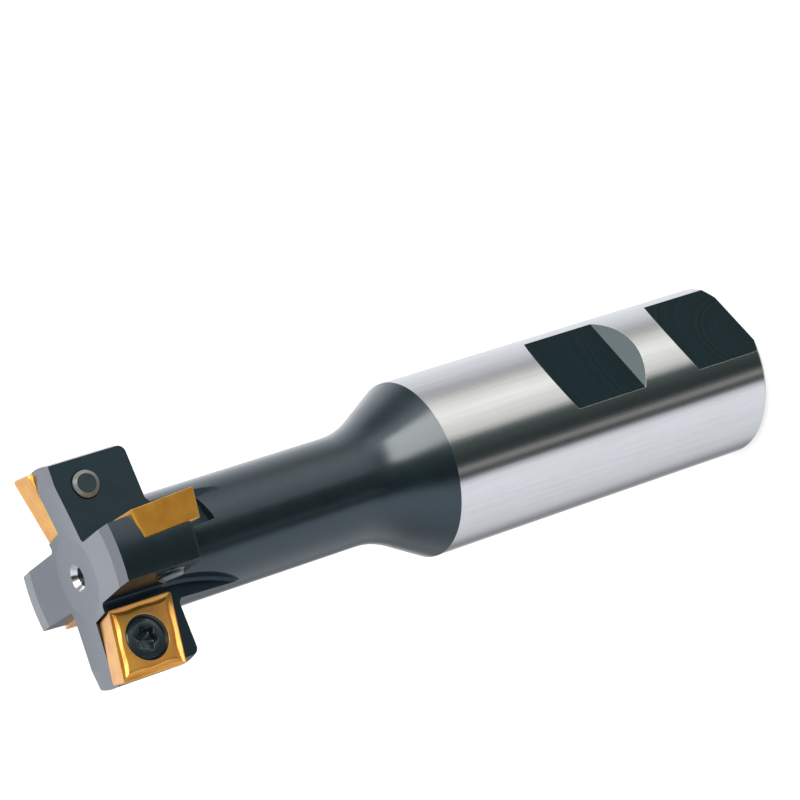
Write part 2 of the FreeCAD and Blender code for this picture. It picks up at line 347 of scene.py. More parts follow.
# %% [markdown]
# Patterns in the finishes
#
# Every finish of this tool comes from how its surface was made, so each one is a pattern in
# millimetres on the object's own coordinates. Turning and grinding leave lines round the axis:
# they are noise that depends on a point's radius and height, and hardly on the way round. An
# edge is found where a normal that is rounded over the edges leaves the face's own normal.

# %% Lines round the axis
def millimetres(tree):
    """A point's place on the tool, in millimetres."""
    place = add(tree, "ShaderNodeTexCoord")
    return add(tree, "ShaderNodeVectorMath", {"operation": "SCALE"}, {
        0: place.outputs["Object"], "Scale": 1 / MM})


def turned_lines(tree, place, drift, lines_per_mm, roughness=0.5):
    """Lines that a tool or wheel leaves round the axis, and the direction across them. Each
    millimetre of way round moves the pattern on by drift millimetres."""
    parts = add(tree, "ShaderNodeSeparateXYZ", inputs={0: place})
    flat = add(tree, "ShaderNodeCombineXYZ", inputs={
        "X": parts.outputs["X"], "Y": parts.outputs["Y"]})
    radius = add(tree, "ShaderNodeVectorMath", {"operation": "LENGTH"}, {0: flat})
    profile = add(tree, "ShaderNodeCombineXYZ", inputs={
        "X": radius.outputs["Value"], "Y": parts.outputs["Z"]})
    lines_place = add(tree, "ShaderNodeVectorMath", {"operation": "MULTIPLY_ADD"}, {
        0: place, 1: (drift, drift, drift), 2: profile})
    lines = add(tree, "ShaderNodeTexNoise", inputs={
        "Vector": lines_place, "Scale": lines_per_mm, "Detail": 2.0, "Roughness": roughness})
    outward = add(tree, "ShaderNodeVectorMath", {"operation": "NORMALIZE"}, {0: flat})
    around = add(tree, "ShaderNodeVectorMath", {"operation": "CROSS_PRODUCT"}, {
        0: (0.0, 0.0, 1.0), 1: outward})
    geometry = add(tree, "ShaderNodeNewGeometry")
    across = add(tree, "ShaderNodeVectorMath", {"operation": "CROSS_PRODUCT"}, {
        0: around, 1: geometry.outputs["Normal"]})
    return lines, across


# %% Rounded edges, sums of patterns and the shader
EDGE_ROUNDING = 0.10 * MM
RELIEF_DEPTH = 0.01 * MM


def rounded_edges(tree, radius, samples, flat, sharp):
    """A normal that is rounded over the edges, and how much of an edge a point is, from 0 to 1.
    The limits are cosines between the rounded normal and the face's own."""
    rounded = add(tree, "ShaderNodeBevel", {"samples": samples}, {"Radius": radius})
    geometry = add(tree, "ShaderNodeNewGeometry")
    agree = add(tree, "ShaderNodeVectorMath", {"operation": "DOT_PRODUCT"}, {
        0: rounded, 1: geometry.outputs["Normal"]})
    edge = add(tree, "ShaderNodeMapRange", inputs={
        "Value": agree.outputs["Value"], "From Min": flat, "From Max": sharp})
    return rounded, edge


def weighted_sum(tree, start, *shares):
    """A start value and each pattern times its share, added up."""
    total = start
    for pattern, share in shares:
        total = add(tree, "ShaderNodeMath", {"operation": "MULTIPLY_ADD"}, {
            0: pattern, 1: share, 2: total})
    return total


def give_shader(material, inputs):
    """The material's surface shader, with its constants and what the pattern feeds into it."""
    tree = material.node_tree
    shader = add(tree, "ShaderNodeBsdfPrincipled", inputs=inputs)
    add(tree, "ShaderNodeOutputMaterial", inputs={"Surface": shader})
    print(material.name, len(tree.nodes), "nodes")


# %% [markdown]
# Steel body: ground shank
#
# The shank was ground round between centres after the body was blackened, so it is bare, bright
# tool steel. The wheel leaves fine lines round the shank. They spread a reflection along the
# tool and keep it sharp round it, which draws the long straight bands. A real line is a few
# hundredths of a millimetre wide, too fine for the render, so here they are 0.15 mm apart.
# Sliding in and out of holders has left faint streaks along the shank, 0.4 mm apart and about
# 12 mm long.

# %% Ground tool steel
ground_steel, tree = empty_material("ground_tool_steel")
place = millimetres(tree)
grinding, across = turned_lines(tree, place, 0.08, 6.5, roughness=0.6)
patches = add(tree, "ShaderNodeTexNoise", inputs={"Vector": place, "Scale": 0.12, "Detail": 3.0})
drawn_out = add(tree, "ShaderNodeVectorMath", {"operation": "MULTIPLY"}, {
    0: place, 1: (1.0, 1.0, 0.035)})
streaks = add(tree, "ShaderNodeTexNoise", inputs={
    "Vector": drawn_out, "Scale": 2.4, "Detail": 3.0, "Roughness": 0.6})
shade = weighted_sum(tree, 0.03, (grinding, 0.30), (streaks, 0.60), (patches, 0.24))
steel_tone = add(tree, "ShaderNodeValToRGB", inputs={0: shade}, stops=[
    (0.35, colour("#d7d7d8")), (0.85, colour("#e4e4e7"))])
rough = add(tree, "ShaderNodeMapRange", inputs={
    "Value": grinding, "To Min": 0.16, "To Max": 0.23})
soft_edge = add(tree, "ShaderNodeBevel", {"samples": 4}, {"Radius": EDGE_ROUNDING})
streak_relief = add(tree, "ShaderNodeBump", inputs={
    "Strength": 0.25, "Distance": RELIEF_DEPTH, "Height": streaks, "Normal": soft_edge})
relief = add(tree, "ShaderNodeBump", inputs={
    "Strength": 0.05, "Distance": RELIEF_DEPTH, "Height": grinding, "Normal": streak_relief})
give_shader(ground_steel, {
    "Metallic": 1.0, "Anisotropic": 0.6, "Tangent": across, "Base Color": steel_tone,
    "Roughness": rough, "Normal": relief})

# %% [markdown]
# Steel body: black oxide
#
# The milled and turned body was blackened in a hot salt bath. That turns the steel's own skin
# into black iron oxide, a thousandth of a millimetre deep, and leaves the cutter's marks to be
# seen, one every 0.2 to 0.3 mm. It is a mineral, not bare metal, so the shader isn't metallic,
# and a clear coat stands for the oil on it. The eye sees a blue-black satin skin whose shine
# grows strong at a flat angle, with a slightly paler line where handling has rubbed an edge.
#
# The skin isn't the same all over. The head's ground front is greyer and shines more, the milled
# faces are duller and hold less oil, and the screws are paler on rubbed edges and at their end
# chamfer, where the paleness is a painted sheen.

# %% Black oxide on the turned and milled steel
def black_oxide(name, dark="#17242a", light="#1e2b31", roughness=0.24, lines_per_mm=4.0,
                ior=1.5, oil=1.0, wear_and_sheen_colour="#6e7578", shine="#a0daff"):
    """Black oxide over turned lines. Oil is how much of the oily coat it has, the wear colour that
    of a rubbed edge and of a painted sheen that a piece marks, and shine the tint of what it
    mirrors."""
    material, tree = empty_material(name)
    place = millimetres(tree)
    turning, across = turned_lines(tree, place, 0.15, lines_per_mm)
    cloud = add(tree, "ShaderNodeTexNoise", inputs={"Vector": place, "Scale": 0.35, "Detail": 4.0})
    shade = weighted_sum(tree, 0.0, (turning, 0.5), (cloud, 0.5))
    base = add(tree, "ShaderNodeValToRGB", inputs={0: shade}, stops=[
        (0.35, colour(dark)), (0.65, colour(light))])
    rounded, edge = rounded_edges(tree, EDGE_ROUNDING, 6, 0.995, 0.93)
    handling = add(tree, "ShaderNodeTexNoise", inputs={
        "Vector": place, "Scale": 1.1, "Detail": 4.0})
    wear = add(tree, "ShaderNodeMapRange", inputs={
        "Value": handling, "From Min": 0.5, "From Max": 0.8})
    wear_and_painted_sheen = add(tree, "ShaderNodeMath", {"operation": "MULTIPLY"}, {0: edge, 1: wear})
    # A piece can mark places of its own in an attribute, which get the same pale colour. On the
    # screws this is a painted sheen on the end chamfer.
    named = add(tree, "ShaderNodeAttribute", {"attribute_name": "wear_and_painted_sheen"})
    wear_and_sheen_share = add(tree, "ShaderNodeMath", {"operation": "MAXIMUM"}, {
        0: wear_and_painted_sheen, 1: named.outputs["Fac"]})
    tone = add(tree, "ShaderNodeMix", {"data_type": "RGBA"}, {
        "Factor": wear_and_sheen_share, 6: base, 7: colour(wear_and_sheen_colour)})
    rough = add(tree, "ShaderNodeMapRange", inputs={
        "Value": cloud, "From Min": 0.3, "From Max": 0.7,
        "To Min": roughness - 0.02, "To Max": roughness + 0.03})
    relief = add(tree, "ShaderNodeBump", inputs={
        "Strength": 0.05, "Distance": RELIEF_DEPTH, "Height": turning, "Normal": rounded})
    give_shader(material, {
        "Metallic": 0.0, "IOR": ior, "Specular Tint": colour(shine), "Coat Weight": oil,
        "Coat Roughness": 0.22, "Coat IOR": ior, "Anisotropic": 0.3, "Tangent": across,
        "Base Color": tone.outputs[2], "Roughness": rough, "Normal": relief})
    return material


black_steel = black_oxide("black_oxide_steel")
black_front = black_oxide("black_oxide_ground_faces", dark="#252b33", light="#2c323b",
                          roughness=0.27, lines_per_mm=5.0, ior=1.75, shine="#b8d2ff")
black_milled = black_oxide("black_oxide_milled_faces", roughness=0.34, lines_per_mm=5.0, oil=0.25)
black_screw = black_oxide("black_oxide_screw", dark="#232e33", light="#2c383e",
                          lines_per_mm=3.0, wear_and_sheen_colour="#848c8b")

# %% [markdown]
# Steel body: milled flats
#
# The two clamping flats were face-milled before blackening. The cutter's teeth leave shallow
# arcs on their floors, 0.5 mm apart, the feed of each tooth. They lie round a point at the
# shank's end, beside the flats' middle line. The skin here is dry, so it mirrors little.

# %% Black oxide on the milled flats
ARCS_ASIDE = 3.0
milled_flats, tree = empty_material("black_oxide_milled_flats")
place = millimetres(tree)
flat_normal = heading(FLAT_DIRECTION)
across_flat = add(tree, "ShaderNodeVectorMath", {"operation": "DOT_PRODUCT"}, {
    0: place, 1: (-flat_normal.y, flat_normal.x, 0.0)})
from_middle = add(tree, "ShaderNodeMath", {"operation": "ADD"}, {
    0: across_flat.outputs["Value"], 1: ARCS_ASIDE})
height = add(tree, "ShaderNodeSeparateXYZ", inputs={0: place})
swing = add(tree, "ShaderNodeCombineXYZ", inputs={"X": from_middle, "Y": height.outputs["Z"]})
arc_radius = add(tree, "ShaderNodeVectorMath", {"operation": "LENGTH"}, {0: swing})
arcs = add(tree, "ShaderNodeTexNoise", {"noise_dimensions": "1D"}, {
    "W": arc_radius.outputs["Value"], "Scale": 2.0, "Detail": 3.0, "Roughness": 0.65})
flat_tone = add(tree, "ShaderNodeValToRGB", inputs={0: arcs}, stops=[
    (0.35, colour("#112024")), (0.70, colour("#192b30"))])
flat_rough = add(tree, "ShaderNodeMapRange", inputs={
    "Value": arcs, "To Min": 0.30, "To Max": 0.42})
flat_edge = add(tree, "ShaderNodeBevel", {"samples": 4}, {"Radius": EDGE_ROUNDING})
flat_relief = add(tree, "ShaderNodeBump", inputs={
    "Strength": 0.16, "Distance": 2 * RELIEF_DEPTH, "Height": arcs, "Normal": flat_edge})
give_shader(milled_flats, {
    "Metallic": 0.0, "IOR": 1.45, "Specular IOR Level": 0.14,
    "Specular Tint": colour("#a0daff"), "Base Color": flat_tone,
    "Roughness": flat_rough, "Normal": flat_relief})

# %% [markdown]
# Steel body: shape
#
# The CAD mesh already has the body's exact form, in flat triangles. On a smooth metal each
# triangle would show, so a copy of it gets the true normals of the surfaces it stands for. A
# turned face, such as the shank or the cone, leans the same way all round the axis, and that
# lean is known from the drawing. Every other face takes an average of the triangles that meet
# it smoothly, with large ones counting for more, and stays sharp where the metal has an edge.
#
# Two fine forms are added. The turning tool's round nose leaves a bend where the cone meets the
# neck, so the mesh is cut across there and its points move out to the bend. And the centre that
# the body turned on has burnished the mouth of the front centre hole, so the mesh is cut at the
# lower end of that bright band.

# %% Turned faces, each with the radius and height of its two ends
CONE_SLOPE = slope(CONE_ANGLE)
NECK_FOOT = SHANK_LENGTH + (SHANK_RADIUS - NECK_RADIUS) / CONE_SLOPE
LAND_RADIUS = HEAD_RADIUS - LAND_WIDTH
LAND_TOP = HUB_TOP + (LAND_RADIUS - HUB_RADIUS) * slope(DISH_ANGLE)
RIM_TOP = LAND_TOP - LAND_WIDTH * slope(LAND_ANGLE)
TURNED = {
    "shank": ((SHANK_RADIUS, SHANK_CHAMFER), (SHANK_RADIUS, SHANK_LENGTH)),
    "shank chamfer": ((SHANK_RADIUS - SHANK_CHAMFER, 0.0), (SHANK_RADIUS, SHANK_CHAMFER)),
    "cone": ((SHANK_RADIUS, SHANK_LENGTH), (NECK_RADIUS, NECK_FOOT)),
    "neck": ((NECK_RADIUS, NECK_FOOT), (NECK_RADIUS, HEAD_BACK)),
    "rim": ((HEAD_RADIUS, HEAD_BACK), (HEAD_RADIUS, RIM_TOP)),
    "land": ((HEAD_RADIUS, RIM_TOP), (LAND_RADIUS, LAND_TOP)),
    "dish": ((LAND_RADIUS, LAND_TOP), (HUB_RADIUS, HUB_TOP)),
}
# How far a point of a turned face may lie off it and past its ends, in millimetres.
OFF_FACE = 0.03
PAST_END = 0.05


def lean(start, end):
    """Outward and upward parts of the normal of the turned face between two ends."""
    length = math.dist(start, end)
    return (end[1] - start[1]) / length, (start[0] - end[0]) / length


def turned_name(radii, heights):
    """Name of the turned face that holds these points, or None."""
    for name, (start, end) in TURNED.items():
        out, up = lean(start, end)
        off = (radii - start[0]) * out + (heights - start[1]) * up
        along = (heights - start[1]) * out - (radii - start[0]) * up
        if (abs(off).max() <= OFF_FACE and along.min() > -PAST_END
                and along.max() < math.dist(start, end) + PAST_END):
            return name
    return None


# %% Bend between the cone and the neck
BEND_REACH = 3.2
# Where the mesh is cut across, as shares of the reach. The CAD mesh has an edge at 0 already.
BEND_CUTS = (-1.0, -0.6, -0.3, 0.3, 0.6, 1.0)


def bend(height):
    """Radius at a height within the bend, and the outward and upward parts of its normal."""
    into_bend = NECK_FOOT + BEND_REACH - height
    rise = CONE_SLOPE * into_bend / (2 * BEND_REACH)
    length = math.hypot(1, rise)
    return NECK_RADIUS + rise * into_bend / 2, (1 / length, rise / length)


def in_bend(height):
    return abs(height - NECK_FOOT) < BEND_REACH + 0.001


# %% Mesh of the body, joined and cut across
SAME_POINT = 0.0005 * MM


def cut_across(work, parts, height):
    bmesh.ops.bisect_plane(work, geom=parts, plane_no=(0, 0, 1), plane_co=(0, 0, height * MM))


def body_mesh():
    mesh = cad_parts["cutter_body"].data.copy()
    work = bmesh.new()
    work.from_mesh(mesh)
    # The loose triangles are joined where their corners meet.
    bmesh.ops.remove_doubles(work, verts=work.verts, dist=SAME_POINT)
    for share in BEND_CUTS:
        cut_across(work, work.verts[:] + work.edges[:] + work.faces[:],
                   NECK_FOOT + share * BEND_REACH)
    hole = [face for face in work.faces
            if all(vert.co.z > HEAD_BACK * MM and vert.co.xy.length < CENTRE_MOUTH_RADIUS * MM
                   for vert in face.verts)]
    around = dict.fromkeys(part for face in hole for part in face.verts[:] + face.edges[:])
    cut_across(work, hole + list(around), HUB_TOP - BURNISHED_DEPTH)
    work.to_mesh(mesh)
    work.free()
    return mesh


# %% Turned face that each face of the mesh belongs to
SAME_WAY = 0.97


def turned_names(mesh, points):
    """For each face the name of its turned face, or None. Its corners and its middle have to lie
    on that face, and the cosine between both normals has to reach SAME_WAY."""
    names = []
    for face in mesh.polygons:
        corners = points[list(face.vertices)]
        middle = corners.mean(axis=0)
        tested = np.vstack([corners, middle])
        name = turned_name(np.hypot(tested[:, 0], tested[:, 1]), tested[:, 2])
        if name:
            out, up = lean(*TURNED[name])
            x, y = middle[:2] / np.hypot(*middle[:2])
            if np.dot(face.normal, (x * out, y * out, up)) < SAME_WAY:
                name = None
        names.append(name)
    return names


# %% True normals at the corners of the faces
SMOOTH_BELOW = math.cos(math.radians(24))


def corner_normals(mesh, points, names):
    normals = np.array([face.normal for face in mesh.polygons])
    areas = np.array([face.area for face in mesh.polygons])
    faces_at = [[] for _ in mesh.vertices]
    for face in mesh.polygons:
        for vertex in face.vertices:
            faces_at[vertex].append(face.index)
    result = []
    for face, name in zip(mesh.polygons, names):
        for vertex in face.vertices:
            if name:
                x, y, z = points[vertex]
                out, up = bend(z)[1] if in_bend(z) else lean(*TURNED[name])
                radius = math.hypot(x, y)
                result.append((x / radius * out, y / radius * out, up))
            else:
                near = [other for other in faces_at[vertex]
                        if normals[other] @ normals[face.index] > SMOOTH_BELOW]
                total = areas[near] @ normals[near]
                result.append(tuple(total / np.linalg.norm(total)))
    return result


# %% Body with its true normals
mesh = body_mesh()
cutter_body = new_object("steel_body", mesh)
body_points = np.array([vertex.co for vertex in mesh.vertices]) / MM
body_names = turned_names(mesh, body_points)
true_normals = corner_normals(mesh, body_points, body_names)
for vertex, (x, y, z) in zip(mesh.vertices, body_points):
    if in_bend(z):
        stretch = bend(z)[0] / math.hypot(x, y)
        vertex.co = (x * stretch * MM, y * stretch * MM, z * MM)
mesh.polygons.foreach_set("use_smooth", [True] * len(mesh.polygons))
mesh.normals_split_custom_set(true_normals)
turned_count = sum(name is not None for name in body_names)
print("steel_body", len(mesh.polygons), "faces,", turned_count, "turned")

# %% Finish of each face of the body
NEAR = 0.01
FINISHES = [black_steel, ground_steel, milled_flats, black_front, black_milled]


def body_finish(name, corners):
    """Finish of a face, from the turned face it belongs to and from where its corners lie."""
    radii = np.hypot(corners[:, 0], corners[:, 1])
    lowest, highest = corners[:, 2].min(), corners[:, 2].max()
    off_flat = abs(corners @ np.array(flat_normal) - FLAT_REACH).max()
    if name == "shank":
        return ground_steel
    if name in ("land", "dish") or (lowest > HUB_TOP - NEAR and radii.max() < HUB_RADIUS + NEAR):
        return black_front
    if off_flat < 2 * NEAR and highest < SHANK_LENGTH:
        return milled_flats
    if name or lowest < SHANK_LENGTH:
        return black_steel
    if radii.max() < CENTRE_MOUTH_RADIUS and lowest > HUB_TOP - BURNISHED_DEPTH - NEAR:
        return ground_steel
    return black_milled


mesh.materials.clear()
for finish in FINISHES:
    mesh.materials.append(finish)
for face, name in zip(mesh.polygons, body_names):
    face.material_index = FINISHES.index(body_finish(name, body_points[list(face.vertices)]))
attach(cutter_body, "root")
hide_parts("cutter_body")
print("faces by finish", np.bincount([face.material_index for face in mesh.polygons]))

# %% [markdown]
# Seats
#
# An insert has its own small frame: the middle of the plane of its cutting edges, with X through
# the cutting corner and Z out of the rake face. A seat says where that frame is on the tool. The
# rake face is tilted for axial and radial rake, and the corner runs on the cutting circle.

# %% Frame of each seat
def seat_frame(tooth, end, corner_height, axial_rake):
    radial = heading(tooth)
    ahead = Vector((-radial.y, radial.x, 0))
    towards_end = Vector((0, 0, end))
    rake = (ahead + radial * slope(RADIAL_TILT) - towards_end * slope(axial_rake)).normalized()
    along = (towards_end - rake * rake.dot(towards_end)).normalized()
    outward = (radial - rake * rake.dot(radial) - along * along.dot(radial)).normalized()
    corner_radial = math.sqrt(CUTTING_RADIUS ** 2 - CORNER_LEAD ** 2)
    corner = radial * corner_radial + ahead * CORNER_LEAD + Vector((0, 0, corner_height))
    through_corner = outward * math.sin(HALF_CORNER) + along * math.cos(HALF_CORNER)
    side = rake.cross(through_corner)
    middle = corner - through_corner * (INSCRIBED_CIRCLE / 2 / math.sin(HALF_CORNER))
    turn = Matrix((through_corner, side, rake)).transposed()
    return Matrix.Translation(middle * MM) @ turn.to_4x4()


seat_frames = {name: seat_frame(*values) for name, values in SEATS.items()}
for name, placed in seat_frames.items():
    print(name, [round(value / MM, 2) for value in placed.translation])

# %% [markdown]
# Inserts: shape
#
# The insert is carbide powder, pressed in a die and sintered, then ground on its flanks and
# honed along its edges. The die forms the chip breaker: a narrow land at the edge, a groove
# behind it that curls the chip, and a raised island round the screw, whose sides bow in between
# the corners. Sculpting or booleans could make that shape, but every part of it follows the
# outline. So the mesh is a set of rings that follow the outline in from the edge and end in the
# round mouth of the hole, and their height is worked out from the distance to the edge.

# %% Form of the chip breaker, which the die makes a little finer than the CAD model shows
EDGE_LAND = 0.13
GROOVE_SLOPE = slope(30)
ISLAND_SLOPE = slope(31)
ISLAND_STEP = 0.03
ISLAND_INSET = 0.50
ISLAND_BOW = 0.72
BOSS_BULGE = 0.20
DIE_ROUNDING = 0.06

# %% Outline of the insert and distance from its edges
CORNER_STEPS = 10
SIDE_STEPS = 30
HALF_WIDTH = INSCRIBED_CIRCLE / 2


def rounded_rhombus(inset, nose):
    """Outline of the insert, moved in from its edges, with its corners rounded."""
    half = HALF_WIDTH - inset
    other_corner = math.pi / 2 - HALF_CORNER
    arcs = []
    for number, half_angle in enumerate((HALF_CORNER, other_corner) * 2):
        facing = number * math.pi / 2
        from_middle = (half - nose) / math.sin(half_angle)
        sweep = math.pi / 2 - half_angle
        arcs.append([
            (from_middle * math.cos(facing) + nose * math.cos(facing + a),
             from_middle * math.sin(facing) + nose * math.sin(facing + a))
            for a in np.linspace(-sweep, sweep, CORNER_STEPS)
        ])
    outline = []
    for number, arc in enumerate(arcs):
        outline += arc
        (x0, y0), (x1, y1) = arc[-1], arcs[(number + 1) % 4][0]
        for share in np.linspace(0, 1, SIDE_STEPS + 2)[1:-1]:
            outline.append((x0 + (x1 - x0) * share, y0 + (y1 - y0) * share))
    return np.array(outline)


def edge_distance(points):
    """Distance in from the nearest cutting edge, and how far along that side, from -1 to 1."""
    half_side = HALF_WIDTH / math.sin(2 * HALF_CORNER)
    nearest = np.full(len(points), np.inf)
    place = np.zeros(len(points))
    for sx in (1, -1):
        for sy in (1, -1):
            normal = np.array([sx * math.sin(HALF_CORNER), sy * math.cos(HALF_CORNER)])
            along = np.array([-normal[1], normal[0]])
            middle = np.array([sx / math.sin(HALF_CORNER), sy / math.cos(HALF_CORNER)])
            middle *= HALF_WIDTH / 2
            distance = HALF_WIDTH - points @ normal
            closer = distance < nearest
            nearest[closer] = distance[closer]
            place[closer] = ((points - middle) @ along)[closer] / half_side
    return nearest, place


# %% Height of the rake face
def crest_inset(place):
    """How far in from the edge the island's crest lies, along a side from -1 to 1. It bows in
    between the corners, and out again a little where the screw's boss comes near."""
    bow = np.clip(1 - place ** 4, 0, 1)
    boss = np.clip(1 - (place / 0.5) ** 2, 0, 1) ** 2
    return ISLAND_INSET + ISLAND_BOW * bow - BOSS_BULGE * boss


def groove_bottom(crest):
    """How far in the groove's slope meets the slope of the island."""
    rise = ISLAND_STEP + crest * ISLAND_SLOPE + EDGE_LAND * GROOVE_SLOPE
    return rise / (GROOVE_SLOPE + ISLAND_SLOPE)


def rounded_ramp(distance):
    """Zero before the start of a slope and the distance after it, with a round bend."""
    return (distance + np.sqrt(distance ** 2 + DIE_ROUNDING ** 2)) / 2


def rake_height(points):
    """Height of the rake face: land, groove and island, with the die's rounded corners."""
    distance, place = edge_distance(points)
    groove = -rounded_ramp(distance - EDGE_LAND) * GROOVE_SLOPE
    island = -ISLAND_STEP - rounded_ramp(crest_inset(place) - distance) * ISLAND_SLOPE
    return (groove + island + np.sqrt((groove - island) ** 2 + DIE_ROUNDING ** 2 / 4)) / 2


# %% Circles, blends and heights that make a ring
def circle_like(outline, radius):
    """Circle whose points lie in the same directions as those of an outline."""
    angles = np.arctan2(outline[:, 1], outline[:, 0])
    return np.stack([radius * np.cos(angles), radius * np.sin(angles)], axis=1)


def between(first, last, share):
    return first * (1 - share) + last * share


def level(outline, height):
    return np.column_stack([outline, np.full(len(outline), height)])


def on_rake(outline):
    return np.column_stack([outline, rake_height(outline)])


# %% Lower rings of the insert
HOLE_BEVEL = 0.15
BASE_BEVEL = 0.12
FLANK_SLOPE = slope(FLANK_ANGLE)


def lower_rings():
    """The hole, the under side and the ground flank, up to the honed edge."""
    base = rounded_rhombus(THICKNESS * FLANK_SLOPE + BASE_BEVEL, NOSE_RADIUS)
    hole_foot = circle_like(base, HOLE_RADIUS + HOLE_BEVEL)
    rings = [level(circle_like(base, HOLE_RADIUS), height)
             for height in (SINK_FOOT, -2.6, -THICKNESS + HOLE_BEVEL)]
    rings += [level(between(hole_foot, base, share), -THICKNESS)
              for share in (0.0, 0.33, 0.66, 1.0)]
    rings += [level(rounded_rhombus(-height * FLANK_SLOPE, NOSE_RADIUS), height)
              for height in (-THICKNESS + 0.10, -3.0, -2.0, -1.0, -0.3, -0.06)]
    rings += [level(rounded_rhombus(inset, NOSE_RADIUS), height)
              for inset, height in ((0.006, -0.030), (0.018, -0.012), (0.036, -0.003))]
    return rings


# %% Upper rings of the insert
LAST_INSET = 1.38


def rake_rings():
    """The rake face, in lines that follow the groove's bottom and the island's crest and then
    turn round, and the countersink."""
    outer = rounded_rhombus(EDGE_LAND, NOSE_RADIUS - 0.03)
    inner = rounded_rhombus(LAST_INSET, 0.2)
    crest = crest_inset(edge_distance(rounded_rhombus(0.8, 0.3))[1])
    bottom = groove_bottom(crest)
    rings = [on_rake(rounded_rhombus(inset, NOSE_RADIUS)) for inset in (0.06, 0.09, 0.11)]
    for first, last, shares in (
        (EDGE_LAND, bottom, (0.0, 0.06, 0.15, 0.30, 0.50, 0.70, 0.84, 0.93)),
        (bottom, crest, (0.0, 0.10, 0.25, 0.50, 0.72, 0.86, 0.95)),
        (crest, LAST_INSET, (0.0, 0.10, 0.25, 0.50, 0.75, 1.0)),
    ):
        for share in shares:
            way_in = (between(first, last, share) - EDGE_LAND) / (LAST_INSET - EDGE_LAND)
            way_in = np.broadcast_to(way_in, len(outer))[:, None]
            rings.append(on_rake(between(outer, inner, way_in)))
    mouth = circle_like(inner, MOUTH_RADIUS + 0.04)
    rings += [on_rake(between(inner, mouth, share)) for share in np.linspace(0, 1, 13)[1:]]
    rings += [level(circle_like(inner, MOUTH_RADIUS + wider), height)
              for wider, height in ((0.01, -0.062), (-0.02, -0.085), (-0.04, -0.12))]
    rings += [level(circle_like(inner, HOLE_RADIUS + (height - SINK_FOOT) * SINK_SLOPE), height)
              for height in (-0.4, -0.8)]
    return rings


# %% Insert, made from its rings
def ring_mesh(name, rings, closed, sharp_angle):
    """Join rings of equal length into a skin. The last ring meets the first where the skin is
    closed, and else each end gets a face."""
    around = len(rings[0])
    faces = []
    for row in range(len(rings) if closed else len(rings) - 1):
        low, high = row * around, (row + 1) % len(rings) * around
        for i in range(around):
            j = (i + 1) % around
            faces.append((low + i, low + j, high + j, high + i))
    if not closed:
        last = (len(rings) - 1) * around
        faces += [tuple(reversed(range(around))), tuple(range(last, last + around))]
    obj = mesh_object(name, np.concatenate(rings) * MM, faces)
    obj.data.set_sharp_from_angle(angle=math.radians(sharp_angle))
    return obj


def radii_and_heights(obj):
    """Distance of each point of a mesh from the Z axis, and its height, in millimetres."""
    points = np.array([vertex.co for vertex in obj.data.vertices]) / MM
    return np.hypot(points[:, 0], points[:, 1]), points[:, 2]


def mark(obj, name, values):
    """Give a mesh a number at each of its points, under a name that a finish can read."""
    attribute = obj.data.attributes.new(name, "FLOAT", "POINT")
    attribute.data.foreach_set("value", values.astype(np.float32))


# Below this height the countersink gets painted shade.
PAINTED_SHADE_BELOW = -0.08
insert_pattern = ring_mesh(
    "insert_pattern", lower_rings() + rake_rings(), closed=True, sharp_angle=40)
radii, heights = radii_and_heights(insert_pattern)
mark(insert_pattern, "painted_seat_shade", (radii < MOUTH_RADIUS) & (heights < PAINTED_SHADE_BELOW))
print("insert", len(insert_pattern.data.polygons), "faces")

# %% [markdown]
# Inserts: finish
#
# Titanium nitride, laid on from vapour, makes the insert gold. The layer is thin and follows the
# pressed carbide's grain, so the shine is soft, and it wanders a little between orange and
# yellow. The real grain is a few thousandths of a millimetre, too fine for the render, so it is
# drawn at 0.1 mm. Along the honed edge the gold is painted paler, a painted highlight. At a flat
# angle its shine turns pale, which the shader gets from a coat over a metal that isn't quite pure.

# %% Titanium nitride on carbide
nitride, tree = empty_material("titanium_nitride_on_carbide")
place = millimetres(tree)
grain = add(tree, "ShaderNodeTexNoise", inputs={
    "Vector": place, "Scale": 9.0, "Detail": 4.0, "Roughness": 0.6})
tint = add(tree, "ShaderNodeTexNoise", inputs={"Vector": place, "Scale": 0.45, "Detail": 3.0})
shade = weighted_sum(tree, 0.0, (grain, 0.35), (tint, 0.65))
gold = add(tree, "ShaderNodeValToRGB", inputs={0: shade}, stops=[
    (0.35, colour("#ea9a1a")), (0.50, colour("#f6ac20")), (0.66, colour("#fcc036"))])
# The gold is painted paler along the edges: a painted highlight.
rounded, painted_edge_highlight = rounded_edges(tree, 0.08 * MM, 4, 0.99, 0.90)
gold_with_edge_highlight = add(tree, "ShaderNodeMix", {"data_type": "RGBA"}, {
    "Factor": painted_edge_highlight, 6: gold, 7: colour("#f0c27c")})
# The screw's seat, deep in the countersink, is painted dark brown: painted shade in the recess.
seat = add(tree, "ShaderNodeAttribute", {"attribute_name": "painted_seat_shade"})
gold_with_seat_shade = add(tree, "ShaderNodeMix", {"data_type": "RGBA"}, {
    "Factor": seat.outputs["Fac"], 6: gold_with_edge_highlight.outputs[2], 7: colour("#2b211a")})
gold_rough = add(tree, "ShaderNodeMapRange", inputs={
    "Value": grain, "To Min": 0.34, "To Max": 0.46})
gold_relief = add(tree, "ShaderNodeBump", inputs={
    "Strength": 0.25, "Distance": RELIEF_DEPTH, "Height": grain, "Normal": rounded})
give_shader(nitride, {
    "Metallic": 0.78, "Coat Weight": 0.9, "Coat Roughness": 0.35, "Coat IOR": 1.9,
    "Base Color": gold_with_seat_shade.outputs[2], "Roughness": gold_rough, "Normal": gold_relief})

# %% [markdown]
# Insert screw: shape
#
# Each insert is held by one M4 screw, turned and cold-headed. Its countersunk head sits on the
# cone of the insert's hole, a six-lobe socket takes the key, and the thread runs down to a
# chamfered end that comes out of the tooth's back. The mesh is again made of rings, from the end
# up: the thread, whose radius goes up and down once in each turn, the cone, the round head and
# the socket's wave.

